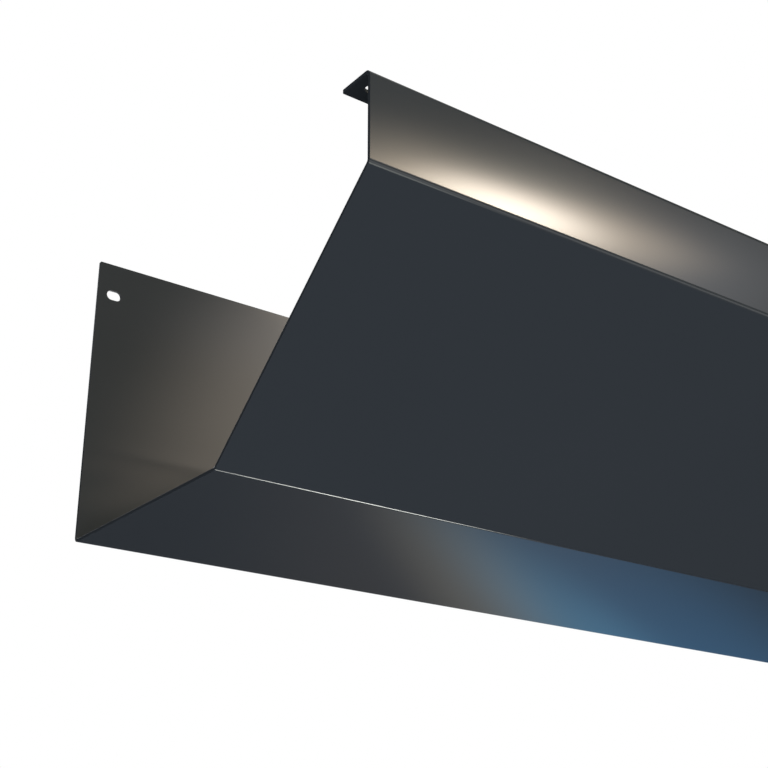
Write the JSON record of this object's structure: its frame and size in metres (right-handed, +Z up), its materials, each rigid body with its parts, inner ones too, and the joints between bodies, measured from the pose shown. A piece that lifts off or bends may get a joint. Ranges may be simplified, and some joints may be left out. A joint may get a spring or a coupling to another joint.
{
  "type": "gutter section",
  "caption": "Folded sheet-metal box gutter with a flat back wall, a sloping front, an upright fascia with a return flange, and slotted fixing holes.",
  "frame": {"origin": "on the underside of the floor, at the middle of the length and of the depth", "axes": "+X along the gutter, +Y from the fascia towards the back wall, +Z up"},
  "size_m": [3, 0.319, 0.2],
  "materials": {
    "powder_coat": "satin"
  },
  "bodies": {
    "root": {"gutter_section": "powder_coat"}
  },
  "joints": []
}
